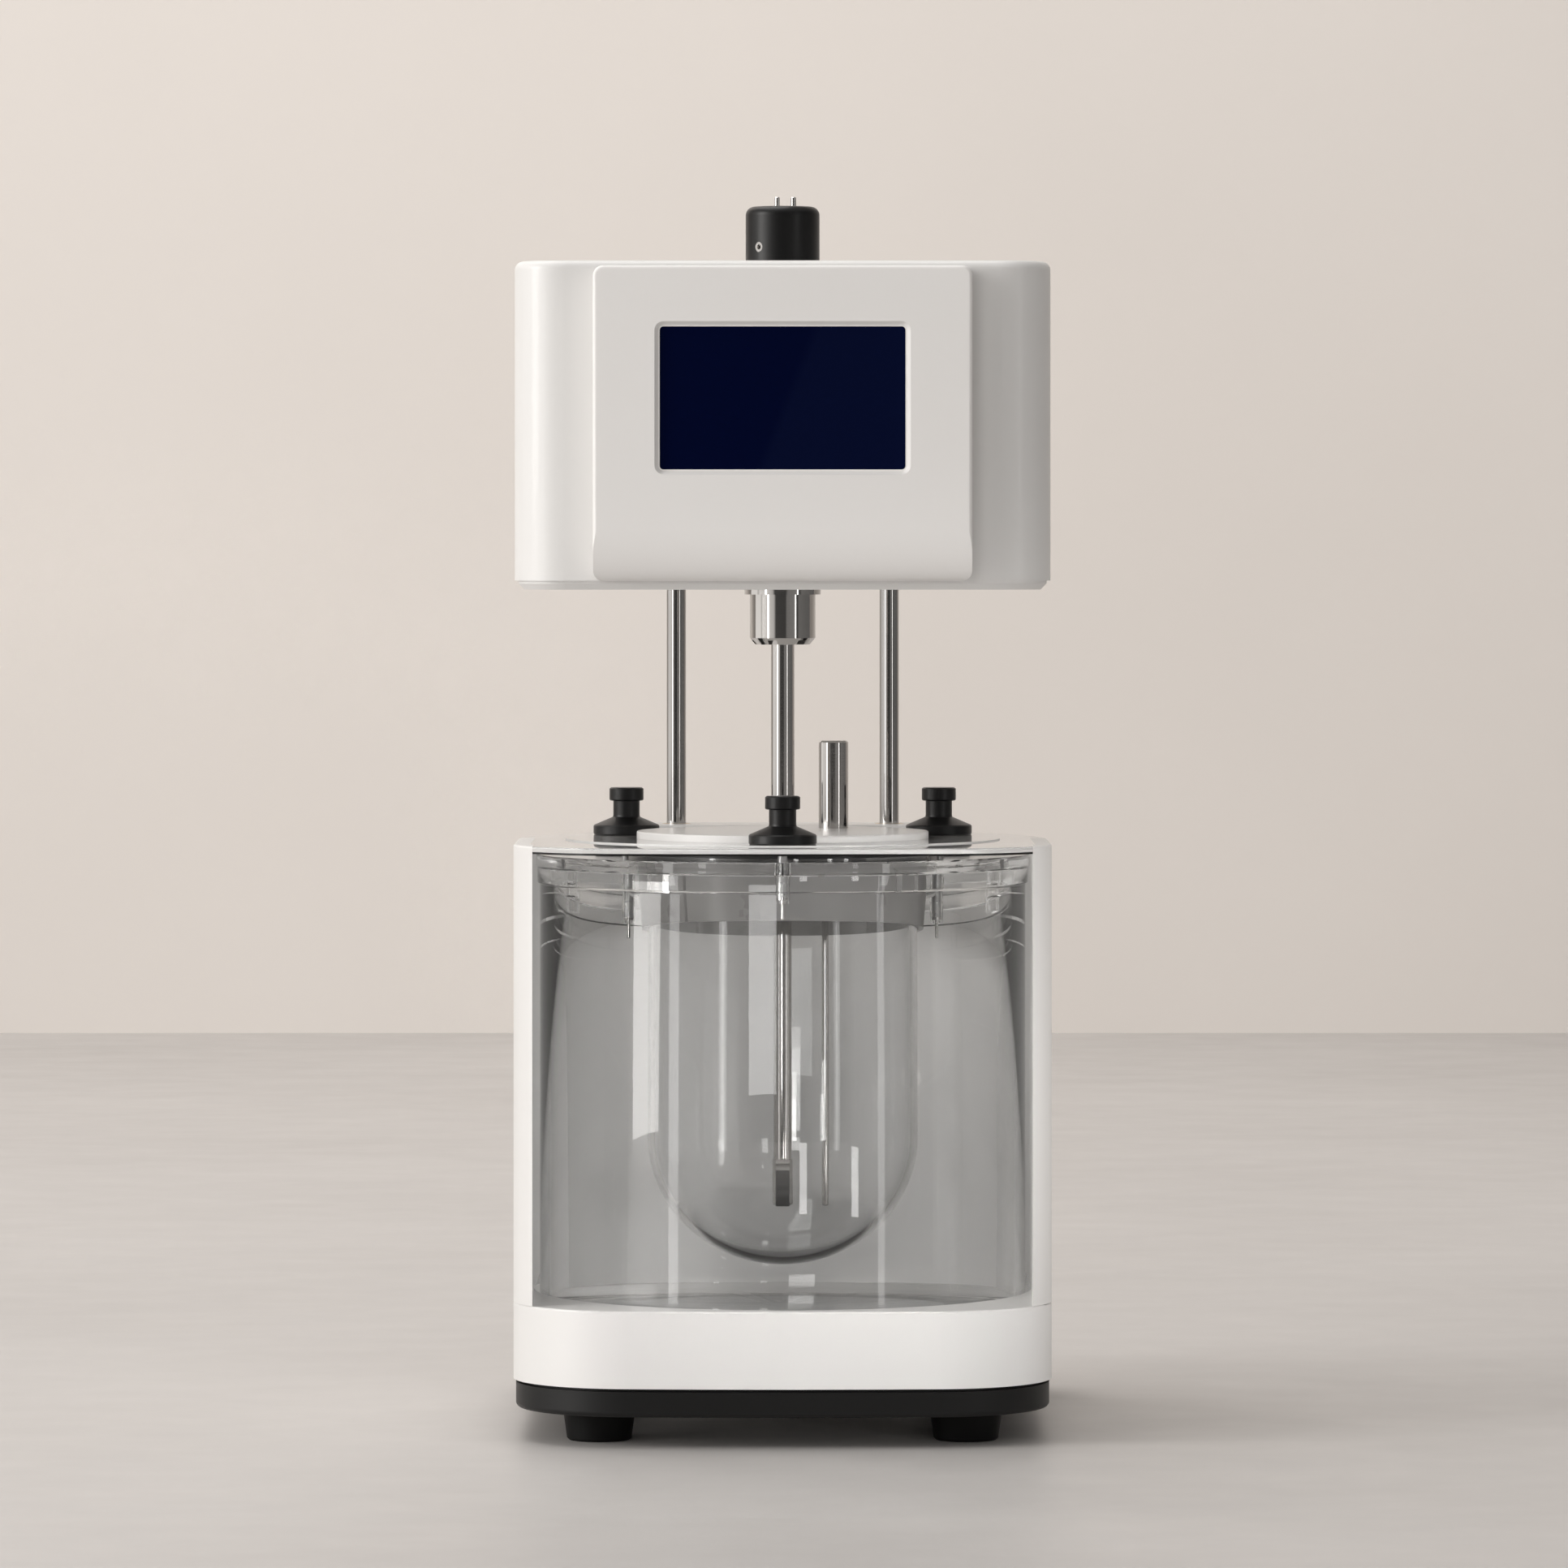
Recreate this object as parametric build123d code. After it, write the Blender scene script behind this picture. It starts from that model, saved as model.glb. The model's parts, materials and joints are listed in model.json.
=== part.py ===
from build123d import *
import math
import os

os.makedirs("parts", exist_ok=True)

# ---------------------------------------------------------------- driving dimensions (mm)
# frame: +Z up, front is -Y, origin under the middle of the footprint on the bench
Y_AXIS = -23.0             # vessel and spindle axis
HALF = 106.0               # half of the overall width
Y_FRONT = Y_AXIS - 106.0   # front of base and deck
Y_REAR = Y_AXIS + 150.0    # back of base, deck and head
R_FRONT, BOW = 48.0, 900.0 # front corners, and the slight bow between them
R_REAR = 25.0
WALL = 2.5

Z_PLATE0, Z_PLATE1 = 12.2, 22.2
Z_BASE0, Z_BASE1 = 23.4, 53.6
Z_DECK0, Z_DECK1 = 230.4, 233.3
SEAT_Z, SEAT_DISC_R = 233.8, 87.0  # shallow raised disc of the deck, on which cover and plungers stand
Z_ROOF0, Z_ROOF1 = 225.5, 228.0    # roof of the rear cover
Y_STEP = -10.0                     # behind this the side panels end under that roof

FOOT_X, FOOT_YF, FOOT_YR = 72.0, Y_AXIS - 66.0, Y_AXIS + 118.0
FOOT_R_LOW, FOOT_R_TOP = 12.7, 14.3

JAR_R, JAR_IN, JAR_BAND_R = 97.2, 93.0, 98.2
JAR_Z0, JAR_FLOOR, JAR_Z1 = 44.0, 49.0, 222.6
JAR_BAND_Z = 216.0
SEAT_R = 99.3
LID_R, LID_IN, LID_Z1 = 98.8, 62.0, 227.6
LID_TABS = (15, 58, 122, 165, 195, 238, 302, 345)

VESSEL_R, VESSEL_WALL, VESSEL_Z0 = 54.0, 3.0, 66.5
VESSEL_FLANGE_R, VESSEL_FLANGE_Z0, VESSEL_FLANGE_Z1 = 56.7, 230.4, 232.9
RING_IN, RING_TOP_R, RING_LOW_R, RING_Z0 = 54.5, 58.0, 56.5, 208.0
RING_FLANGE_R, RING_FLANGE_Z0 = 61.8, 226.0
DECK_HOLE_R = 57.2

COVER_R, COVER_Z1 = 58.4, 236.6
COVER_HOLE_R = 8.0
PROBE_X, PROBE_Y, PROBE_R, PROBE_Z0 = 17.5, Y_AXIS + 30.0, 1.4, 90.0
HANDLE_X, HANDLE_Y, HANDLE_R, HANDLE_Z1 = 20.5, Y_AXIS + 30.0, 6.0, 272.0

PLUNGER_RING, PLUNGER_PIN_R, SLEEVE_R = 73.0, 1.3, 2.9
PLUNGERS = {"front": (0.0, Y_AXIS - 73.0), "left": (-63.2, Y_AXIS + 36.5), "right": (63.2, Y_AXIS + 36.5)}

ROD_X, ROD_Y, ROD_R = 44.0, Y_AXIS + 112.0, 4.0
BUSH_R = 6.0
GUIDE_HALF, GUIDE_YF, GUIDE_YR, GUIDE_Z1 = 75.0, Y_AXIS + 89.0, Y_AXIS + 123.5, 235.7
SCREW_Y, SCREW_R = Y_AXIS + 122.0, 4.0
SCREW_Z0, SCREW_Z1 = 58.0, 178.0
CROSS_Z0, CROSS_Z1 = 70.0, 78.0
LIFT_MOTOR_R = 14.0

SIDE_IN_X = 99.3           # inner face of the side panels
SIDE_EDGE_X = 97.8         # where the panels end round the front corners
BAY_Y0, BAY_Y1 = Y_AXIS + 99.0, Y_AXIS + 102.0

HEAD_Z0, HEAD_Z1 = 337.0, 463.2
HEAD_YF = Y_AXIS - 60.0
HEAD_R = 20.0
PAN_Z0 = 333.5
PANEL_HALF, PANEL_Z1, PANEL_Y, PANEL_R = 74.25, 460.5, Y_AXIS - 80.0, 4.0
CURL_H, CURL_D = 20.0, 12.0
SCREEN_Z = 408.7
SCREEN_W, SCREEN_H, SCREEN_R = 96.2, 56.0, 1.5
RECESS_W, RECESS_H, RECESS_R, RECESS_D = 100.3, 60.0, 3.6, 2.0

NOSE_R, NOSE_Z0 = 13.15, 311.2
NOSE_FLANGE_R, NOSE_FLANGE_Z0 = 15.25, 331.2
BEARING_R = 11.0
SPINDLE_R, SPINDLE_BORE = 7.5, 4.75
SPINDLE_Z0, SPINDLE_Z1 = 311.6, 463.4
SHAFT_R_TOP, SHAFT_R_LOW, SHAFT_STEP_Z = 4.7, 3.6, 216.0
CHASSIS_Z1 = 341.0
MOTOR_Y, MOTOR_R = Y_AXIS + 62.0, 18.0
SPINDLE_TEETH, MOTOR_TEETH = 60, 30
PULLEY_R, MOTOR_PULLEY_R = 20.0, 10.0
PULLEY_Z0, PULLEY_Z1 = 400.0, 410.0
BELT_T, BELT_GAP = 1.2, 0.3

CAP_R, CAP_Z1 = 14.8, 486.4
CAP_PINS = (-2.2, 4.3)
PIN_R, PIN_Z1 = 1.1, 490.3
SET_SCREW_Z, SET_SCREW_ANGLE, SET_SCREW_R = 470.0, -131.0, 2.0

PADDLE_Z0, PADDLE_Z1 = 91.8, 111.3
PADDLE_TOP_HALF, PADDLE_LOW_HALF, PADDLE_T, HUB_R = 31.0, 18.0, 5.4, 4.1


def save(shape, name):
    export_step(shape, f"parts/{name}.step")


def cyl(r, z0, z1, x=0.0, y=0.0):
    return Pos(x, y, (z0 + z1) / 2) * Cylinder(r, z1 - z0)


def box(x0, x1, y0, y1, z0, z1):
    return Pos((x0 + x1) / 2, (y0 + y1) / 2, (z0 + z1) / 2) * Box(x1 - x0, y1 - y0, z1 - z0)


def turned(points, x=0.0, y=0.0):
    """solid of revolution about a vertical axis, from (r, z) points"""
    wire = Polyline([(r, 0, z) for r, z in points], close=True)
    return Pos(x, y, 0) * revolve(make_face(wire), Axis.Z, 360)


def circles(shape, radius, tol=0.01):
    return shape.edges().filter_by(GeomType.CIRCLE).filter_by(lambda e: abs(e.radius - radius) < tol)


def plan(inset, z0, z1, y_front=Y_FRONT, y_rear=Y_REAR, rf=R_FRONT, rr=R_REAR, bow=BOW):
    """prism of the footprint, drawn in by inset, with an optional slight bow across the front"""
    h, b = HALF - inset, y_rear - inset
    f, r = rf - inset, rr - inset
    xc = HALF - rf
    if bow:
        yc = y_front + bow - math.sqrt((bow - rf) ** 2 - xc ** 2)
        u = (xc / (bow - rf), (yc - (y_front + bow)) / (bow - rf))
    else:
        yc, u = y_front + rf, (0.0, -1.0)
    t = (xc + f * u[0], yc + f * u[1])
    m = (u[0] + 1.0, u[1])
    ml = math.hypot(*m)
    mid = (xc + f * m[0] / ml, yc + f * m[1] / ml)
    q = math.sqrt(0.5)
    cx, cy = h - r, b - r
    front = (ThreePointArc((-t[0], t[1]), (0, y_front + inset), t) if bow else Line((-t[0], t[1]), t))
    wire = Wire([front, ThreePointArc(t, mid, (h, yc)), Line((h, yc), (h, cy)),
                 ThreePointArc((h, cy), (cx + r * q, cy + r * q), (cx, b)), Line((cx, b), (-cx, b)),
                 ThreePointArc((-cx, b), (-cx - r * q, cy + r * q), (-h, cy)), Line((-h, cy), (-h, yc)),
                 ThreePointArc((-h, yc), (-mid[0], mid[1]), (-t[0], t[1]))])
    return Pos(0, 0, z0) * extrude(make_face(wire), z1 - z0)


def head_plan(inset, z0, z1):
    return plan(inset, z0, z1, y_front=HEAD_YF, rf=HEAD_R, bow=None)


# ================================================================ base
FEET = [(sx * FOOT_X, y) for sx in (-1, 1) for y in (FOOT_YF, FOOT_YR)]
feet = [turned([(4.4, 0), (FOOT_R_LOW - 0.9, 0), (FOOT_R_LOW, 0.9), (FOOT_R_TOP, Z_PLATE0), (1.6, Z_PLATE0),
                (1.6, 4.4), (4.4, 4.4)], x, y) for x, y in FEET]
save(Compound(children=feet), "rubber_feet")


def case_screw():
    """small screw, head down, shank up, seat of the head at z = 0"""
    return turned([(1.0, -1.2), (1.0, -2.0), (2.4, -2.0), (3.0, -1.4), (3.0, 0), (1.5, 0), (1.5, 10.6), (0, 10.6), (0, -1.2)])


plate = plan(1.0, Z_PLATE0, Z_PLATE1)
plate = fillet(plate.faces().sort_by(Axis.Z)[0].edges(), 2.0)
plate = plate + plan(3.0, Z_PLATE1, Z_BASE0)
plate = plate - plan(6.0, 15.2, Z_BASE0 + 1)
for x, y in FEET:
    plate = plate - cyl(1.5, Z_PLATE0 - 1, 16, x, y)
for i in range(7):
    plate = plate - box(-38 + i * 12, -34 + i * 12, Y_AXIS - 28, Y_AXIS + 28, Z_PLATE0 - 1, 16)
save(plate, "base_plate")

# base housing: open underneath, with the round seat of the jar in its top
shell = plan(0, Z_BASE0, Z_BASE1)
shell = fillet(shell.faces().sort_by(Axis.Z)[-1].edges(), 0.8)
shell = shell - plan(WALL, Z_BASE0 - 1, Z_BASE1 - WALL)
shell = shell + cyl(SEAT_R + 2.0, JAR_Z0 - 2.5, Z_BASE1 - 1.0, 0, Y_AXIS)
shell = shell - cyl(SEAT_R, JAR_Z0, Z_BASE1 + 1, 0, Y_AXIS) - cyl(84.5, JAR_Z0 - 4, JAR_Z0 + 1, 0, Y_AXIS)
shell = shell - (plan(4.0, Z_BASE1 - 6, Z_BASE1 + 1) & box(-98, 98, 82, 122, Z_BASE1 - 7, Z_BASE1 + 2))
for x in (-70, 70):
    shell = shell + box(x - 5, x + 5, 113.0, Y_REAR - WALL, Z_BASE1 - 8, 66.0)
    shell = shell - Pos(x, Y_REAR - 5, 60) * Rot(90, 0, 0) * Cylinder(1.5, 16)
save(shell, "base_shell")

heater = cyl(84.2, JAR_Z0 - 2.5, JAR_Z0, 0, Y_AXIS) + cyl(89.0, JAR_Z0 - 5.5, JAR_Z0 - 2.5, 0, Y_AXIS)
save(heater, "heater_plate")

jar = cyl(JAR_R, JAR_Z0, JAR_Z1, 0, Y_AXIS)
jar = fillet(circles(jar, JAR_R).group_by(Axis.Z)[0], 2.4)
jar = jar + cyl(JAR_BAND_R, JAR_BAND_Z, JAR_Z1, 0, Y_AXIS)
jar = jar - cyl(JAR_IN, JAR_FLOOR, JAR_Z1 + 1, 0, Y_AXIS)
save(jar, "bath_jar")

lid = cyl(LID_R, JAR_Z1, LID_Z1, 0, Y_AXIS) - cyl(LID_IN, JAR_Z1 - 1, LID_Z1 + 1, 0, Y_AXIS)
lid = chamfer(circles(lid, LID_R), 0.6)
for a in LID_TABS:
    lid = lid + Pos(0, Y_AXIS, 0) * Rot(0, 0, a) * box(88.0, 92.4, -3.5, 3.5, JAR_BAND_Z, JAR_Z1)
for x, y in PLUNGERS.values():
    lid = lid - cyl(SLEEVE_R, JAR_Z1 - 1, LID_Z1 + 1, x, y)
save(lid, "bath_lid")

# collar that centres the vessel, ribbed down its skirt and split by slits
ring = turned([(RING_IN, RING_Z0), (RING_LOW_R, RING_Z0), (RING_TOP_R, RING_FLANGE_Z0), (RING_FLANGE_R, RING_FLANGE_Z0),
               (RING_FLANGE_R, Z_DECK0), (RING_IN, Z_DECK0)], 0, Y_AXIS)
for a in (48, 132, 228, 312):
    ring = ring - Pos(0, Y_AXIS, 0) * Rot(0, 0, a) * box(50, 64, -0.7, 0.7, RING_Z0 - 1, 221.0)
save(ring, "vessel_ring")

z_eq = VESSEL_Z0 + VESSEL_R
inner_r = VESSEL_R - VESSEL_WALL
vessel = (cyl(VESSEL_R, z_eq, VESSEL_FLANGE_Z1, 0, Y_AXIS) + Pos(0, Y_AXIS, z_eq) * Sphere(VESSEL_R)
          + cyl(VESSEL_FLANGE_R, VESSEL_FLANGE_Z0, VESSEL_FLANGE_Z1, 0, Y_AXIS))
vessel = vessel - (cyl(inner_r, z_eq, VESSEL_FLANGE_Z1 + 1, 0, Y_AXIS) + Pos(0, Y_AXIS, z_eq) * Sphere(inner_r))
save(vessel, "vessel")

# side panels: from an edge on the front corner back to the rear cover; in front they rise to the deck's top
tube = plan(0, Z_BASE1, Z_DECK0) - plan(HALF - SIDE_IN_X, Z_BASE1 - 1, Z_DECK0 + 1)
top = plan(0, Z_DECK0, Z_DECK1, y_rear=Y_AXIS + HALF, rr=HALF - 0.3)
top = fillet(top.faces().sort_by(Axis.Z)[-1].edges(), 0.8)
rim = top - plan(HALF - SIDE_IN_X, Z_DECK0 - 1, Z_DECK1 + 1)
deck = top
for sx, name in ((-1, "left"), (1, "right")):
    lo, hi = sorted((sx * SIDE_EDGE_X, sx * (HALF + 1)))
    ear = rim & box(lo, hi, Y_FRONT - 1, Y_STEP, Z_DECK0, Z_DECK1)
    deck = deck - ear
    save((tube & box(lo, hi, Y_FRONT - 1, BAY_Y0, Z_BASE1, Z_ROOF0))
         + (tube & box(lo, hi, Y_FRONT - 1, Y_STEP, Z_ROOF0, Z_DECK0)) + ear, f"{name}_side_panel")

deck = deck + cyl(SEAT_DISC_R, Z_DECK1, SEAT_Z, 0, Y_AXIS)
deck = deck + box(-77, 77, 40, GUIDE_YR + 2, Z_DECK0, Z_DECK1) + box(-77, 77, 77, GUIDE_YR + 2, Z_ROOF1, Z_DECK0)
deck = deck - cyl(DECK_HOLE_R, Z_DECK0 - 1, SEAT_Z + 1, 0, Y_AXIS)
for x, y in PLUNGERS.values():
    deck = deck - cyl(PLUNGER_PIN_R + 0.4, Z_DECK0 - 1, SEAT_Z + 1, x, y)
for sx in (-1, 1):
    deck = deck - cyl(BUSH_R, Z_ROOF1 - 1, Z_DECK1 + 1, sx * ROD_X, ROD_Y)
save(deck, "deck_plate")

save(box(-SIDE_IN_X - 4.0, SIDE_IN_X + 4.0, BAY_Y0, BAY_Y1, Z_BASE1, Z_ROOF0), "bay_back_panel")

# rear cover round the lift column
SW_Y, SW_Z = ROD_Y, 62.0
IN_X, IN_Z = -72.0, 80.0
cover_r = plan(0, Z_BASE1, Z_ROOF0) - plan(WALL, Z_BASE1 - 1, Z_ROOF0 + 1)
cover_r = cover_r & box(-HALF - 1, HALF + 1, BAY_Y0, Y_REAR + 1, Z_BASE1, Z_ROOF0)
roof = fillet(plan(0, Z_ROOF0, Z_ROOF1).faces().sort_by(Axis.Z)[-1].edges(), 0.8)
roof = roof & box(-HALF - 1, HALF + 1, Y_STEP, Y_REAR + 1, Z_ROOF0, Z_ROOF1)
roof = roof - cyl(LID_R + 0.7, Z_ROOF0 - 1, Z_ROOF1 + 1, 0, Y_AXIS)
for sx in (-1, 1):
    roof = roof - cyl(BUSH_R, Z_ROOF0 - 1, Z_ROOF1 + 1, sx * ROD_X, ROD_Y)
cover_r = cover_r + roof
cover_r = cover_r - box(HALF - 6, HALF + 1, SW_Y - 6.4, SW_Y + 6.4, SW_Z - 7.4, SW_Z + 7.4)
cover_r = cover_r - box(IN_X - 13.5, IN_X + 13.5, Y_REAR - 6, Y_REAR + 1, IN_Z - 9.8, IN_Z + 9.8)
for i in range(8):
    z = 140 + i * 7
    cover_r = cover_r - box(-34, 34, Y_REAR - 6, Y_REAR + 1, z, z + 2.6)
COVER_SCREWS = [(-70, 60), (70, 60), (-70, 216), (70, 216)]
for x, z in COVER_SCREWS:
    cover_r = cover_r - Pos(x, Y_REAR - 1, z) * Rot(90, 0, 0) * Cylinder(1.5, 8)
for x in (-70, 70):
    cover_r = cover_r + box(x - 5, x + 5, 113.0, Y_REAR - WALL + 0.5, 210.0, Z_ROOF0 + 0.5)
    cover_r = cover_r - Pos(x, Y_REAR - 7, 216) * Rot(90, 0, 0) * Cylinder(1.5, 16)
save(cover_r, "rear_cover")
save(Compound(children=[Pos(x, y, 4.4) * case_screw() for x, y in FEET]
              + [Pos(x, Y_REAR, z) * Rot(90, 0, 0) * case_screw() for x, z in COVER_SCREWS]), "case_screws")

guide = Pos(0, (GUIDE_YF + GUIDE_YR) / 2, Z_DECK1) * extrude(RectangleRounded(2 * GUIDE_HALF, GUIDE_YR - GUIDE_YF, 9.0),
                                                              GUIDE_Z1 - Z_DECK1)
guide = fillet(guide.faces().sort_by(Axis.Z)[-1].edges(), 0.6)
for sx in (-1, 1):
    guide = guide - cyl(BUSH_R, Z_DECK1 - 1, GUIDE_Z1 + 1, sx * ROD_X, ROD_Y)
save(guide, "rod_guide_plate")

bushes = [cyl(BUSH_R, 208.0, GUIDE_Z1, sx * ROD_X, ROD_Y) + cyl(8.0, 208.0, 211.0, sx * ROD_X, ROD_Y)
          - cyl(ROD_R + 0.05, 200, 240, sx * ROD_X, ROD_Y) for sx in (-1, 1)]
save(Compound(children=bushes), "rod_bushes")

lift_motor = cyl(LIFT_MOTOR_R, 180.0, 214.0, 0, SCREW_Y)
lift_motor = chamfer(circles(lift_motor, LIFT_MOTOR_R), 1.0)
lift_motor = lift_motor - cyl(3.05, 179.0, 194.0, 0, SCREW_Y)
save(lift_motor, "lift_motor")
bracket = box(-20, 20, SCREW_Y - 15, SCREW_Y + 15, 214.0, Z_ROOF0) - box(-17, 17, SCREW_Y - 16, SCREW_Y + 16, 217.0, Z_ROOF0 - 3)
save(bracket, "lift_motor_bracket")
screw = cyl(SCREW_R, SCREW_Z0, SCREW_Z1, 0, SCREW_Y) + cyl(3.0, SCREW_Z1, 192.0, 0, SCREW_Y)
for i in range(11):
    z = SCREW_Z0 + 4 + i * 10
    if z > CROSS_Z1 + 1 or z + 1.6 < CROSS_Z0 - 1:
        screw = screw - (cyl(SCREW_R + 1, z, z + 1.6, 0, SCREW_Y) - cyl(SCREW_R - 0.6, z - 1, z + 3, 0, SCREW_Y))
save(screw, "lead_screw")

psu = box(-94, -56, 84, 112, 15.2, 62.0)
for i in range(5):
    psu = psu - box(-90 + i * 7, -87 + i * 7, 88, 108, 60.0, 63.0)
save(psu, "power_supply")
main_board = box(-48, 60, 116.0, 117.6, 84, 168)
for bx, bz, bw, bh, bd in ((-30, 148, 14, 14, 2.4), (8, 140, 24, 12, 3.2), (40, 110, 10, 16, 5.0), (-32, 104, 16, 10, 5.0)):
    main_board = main_board + box(bx - bw / 2, bx + bw / 2, 116.0 - bd, 116.2, bz - bh / 2, bz + bh / 2)
for px, pz in ((-44, 88), (56, 88), (-44, 164), (56, 164)):
    main_board = main_board + Pos(px, (117.6 + Y_REAR - WALL) / 2, pz) * Rot(90, 0, 0) * Cylinder(2.4, Y_REAR - WALL - 117.6)
save(main_board, "main_board")

pins = [box(IN_X + dx - 1.0, IN_X + dx + 1.0, Y_REAR - 24.0, Y_REAR - 4.0, IN_Z + dz - 2.0, IN_Z + dz + 2.0)
        for dx, dz in ((-7, -2), (0, 2), (7, -2))]
inlet = box(IN_X - 16.0, IN_X + 16.0, Y_REAR, Y_REAR + 2.0, IN_Z - 12.2, IN_Z + 12.2)
inlet = inlet + box(IN_X - 13.4, IN_X + 13.4, Y_REAR - 22.0, Y_REAR, IN_Z - 9.7, IN_Z + 9.7)
inlet = inlet - box(IN_X - 12.0, IN_X + 12.0, Y_REAR - 17.0, Y_REAR + 3.0, IN_Z - 8.2, IN_Z + 8.2)
for pin in pins:
    inlet = inlet - pin
save(inlet, "power_inlet")
save(Compound(children=pins), "inlet_pins")

# rocker switch low on the right side
sw = box(HALF - 16, HALF, SW_Y - 6.3, SW_Y + 6.3, SW_Z - 7.3, SW_Z + 7.3)
sw = sw + box(HALF, HALF + 1.4, SW_Y - 7.4, SW_Y + 7.4, SW_Z - 8.2, SW_Z + 8.2)
sw = sw - box(HALF - 10, HALF + 3, SW_Y - 5.3, SW_Y + 5.3, SW_Z - 6.0, SW_Z + 6.0)
PIV_X = HALF - 2.0
sw = sw - Pos(PIV_X, SW_Y, SW_Z) * Rot(90, 0, 0) * Cylinder(1.25, 14)
save(sw, "switch_housing")
ROCKER = [(-3.0, -3.0), (-3.0, 3.0), (3.0, 4.2), (7.0, 2.6), (4.0, -1.0), (2.2, -4.7), (-0.5, -4.7)]
rk = make_face(Polyline([(PIV_X + px, 0, SW_Z + pz) for px, pz in ROCKER], close=True))
rocker = Pos(0, SW_Y + 4.9, 0) * extrude(rk, 9.8, dir=(0, -1, 0))
rocker = rocker + Pos(PIV_X, SW_Y, SW_Z) * Rot(90, 0, 0) * Cylinder(1.2, 12.0)
save(rocker, "power_rocker")

# ================================================================ spring plungers
sleeves = []
for name, (x, y) in PLUNGERS.items():
    k, r = SEAT_Z, PLUNGER_PIN_R
    knob = turned([(r, k), (12.9, k), (13.35, k + 0.5), (13.35, k + 3.5), (12.9, k + 4.0), (6.3, k + 6.8), (5.5, k + 7.2),
                   (5.35, k + 7.9), (5.35, k + 13.6), (6.6, k + 13.8), (6.9, k + 14.2), (6.9, k + 18.5), (6.3, k + 19.0),
                   (0, k + 19.0), (0, k + 12.6), (r, k + 12.6)], x, y)
    save(knob, f"plunger_knob_{name}")
    pin = turned([(0, 207.0), (0.5, 207.0), (0.7, 207.4), (0.7, 214.8), (2.0, 214.8), (2.0, 216.0), (r, 216.0), (r, k + 12.6),
                  (0, k + 12.6)], x, y)
    save(pin, f"plunger_pin_{name}")
    coil = cyl(2.0, 216.0, Z_DECK0, x, y) - cyl(1.55, 215, Z_DECK0 + 1, x, y)
    for i in range(8):
        z = 216.9 + i * 1.65
        coil = coil - (cyl(3.0, z, z + 0.8, x, y) - cyl(1.8, z - 1, z + 2, x, y))
    save(coil, f"plunger_spring_{name}")
    sleeves.append(turned([(1.05, 213.4), (2.55, 213.4), (SLEEVE_R, JAR_Z1), (SLEEVE_R, LID_Z1), (2.4, LID_Z1), (2.35, 214.5),
                           (1.05, 214.5)], x, y))
save(Compound(children=sleeves), "plunger_sleeves")

# ================================================================ head
head = head_plan(0, HEAD_Z0, HEAD_Z1)
head = fillet(head.faces().sort_by(Axis.Z)[-1].edges(), 3.5)
head = head - head_plan(WALL, HEAD_Z0 - 1, HEAD_Z1 - 3.0)
head = head - cyl(9.5, HEAD_Z1 - 6, HEAD_Z1 + 1, 0, Y_AXIS)
head = head - box(-64, 64, HEAD_YF - 1, HEAD_YF + 6, 352, 450)
for i in range(8):
    z = 382 + i * 7
    head = head - box(-42, 42, Y_REAR - 6, Y_REAR + 1, z, z + 2.6)
HEAD_SCREWS = [(-84, -50), (84, -50), (-84, 100), (84, 100)]
for x, y in HEAD_SCREWS:
    lo, hi = sorted((x, math.copysign(HALF - WALL + 0.5, x)))
    head = head + cyl(4.0, HEAD_Z0, 352.0, x, y) + box(lo, hi, y - 1.2, y + 1.2, HEAD_Z0, 350.0)
    head = head - cyl(1.5, HEAD_Z0 - 1, 348.0, x, y)
save(head, "head_shell")

pan = head_plan(1.5, PAN_Z0, HEAD_Z0)
pan = chamfer(pan.faces().sort_by(Axis.Z)[0].edges(), 2.4)
pan = pan - cyl(NOSE_R + 0.06, PAN_Z0 - 1, HEAD_Z0 + 1, 0, Y_AXIS)
for sx in (-1, 1):
    pan = pan - cyl(ROD_R + 0.4, PAN_Z0 - 1, HEAD_Z0 + 1, sx * ROD_X, ROD_Y)
for x, y in HEAD_SCREWS:
    pan = pan - cyl(3.2, PAN_Z0 - 1, PAN_Z0 + 2.0, x, y)
    pan = pan - cyl(1.5, PAN_Z0 - 1, HEAD_Z0 + 1, x, y)
save(pan, "head_bottom_plate")
save(Compound(children=[Pos(x, y, PAN_Z0 + 2.0) * case_screw() for x, y in HEAD_SCREWS]), "head_screws")

# raised front panel: a flat face whose foot curls back under the head


def panel_body(inset, y_back, half):
    yf = PANEL_Y + inset
    z0, z1 = HEAD_Z0 + inset, PANEL_Z1 - inset
    ch, cd = CURL_H - inset, CURL_D - 0.4 * inset
    # a quarter ellipse runs from the flat face down and back to the foot
    pts = [(yf + cd * (1 - math.cos(t)), z0 + ch * (1 - math.sin(t)))
           for t in [math.radians(a) for a in range(0, 91, 9)]]
    spl = Spline([(0, y, z) for y, z in pts], tangents=[(0, 0, -1), (0, 1, 0)])
    yb, zb = pts[-1]
    wire = Wire([spl, Line((0, yb, zb), (0, y_back, zb)), Line((0, y_back, zb), (0, y_back, z1)),
                 Line((0, y_back, z1), (0, yf, z1)), Line((0, yf, z1), (0, yf, z0 + ch))])
    return Pos(-half, 0, 0) * extrude(make_face(wire), 2 * half, dir=(1, 0, 0))


def face_prism(w, h, r, y0, y1, z):
    """rounded rectangle facing the front, centred on x = 0"""
    return extrude(Plane(origin=(0, y1, z), x_dir=(1, 0, 0), z_dir=(0, -1, 0)) * RectangleRounded(w, h, r), y1 - y0)


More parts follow.
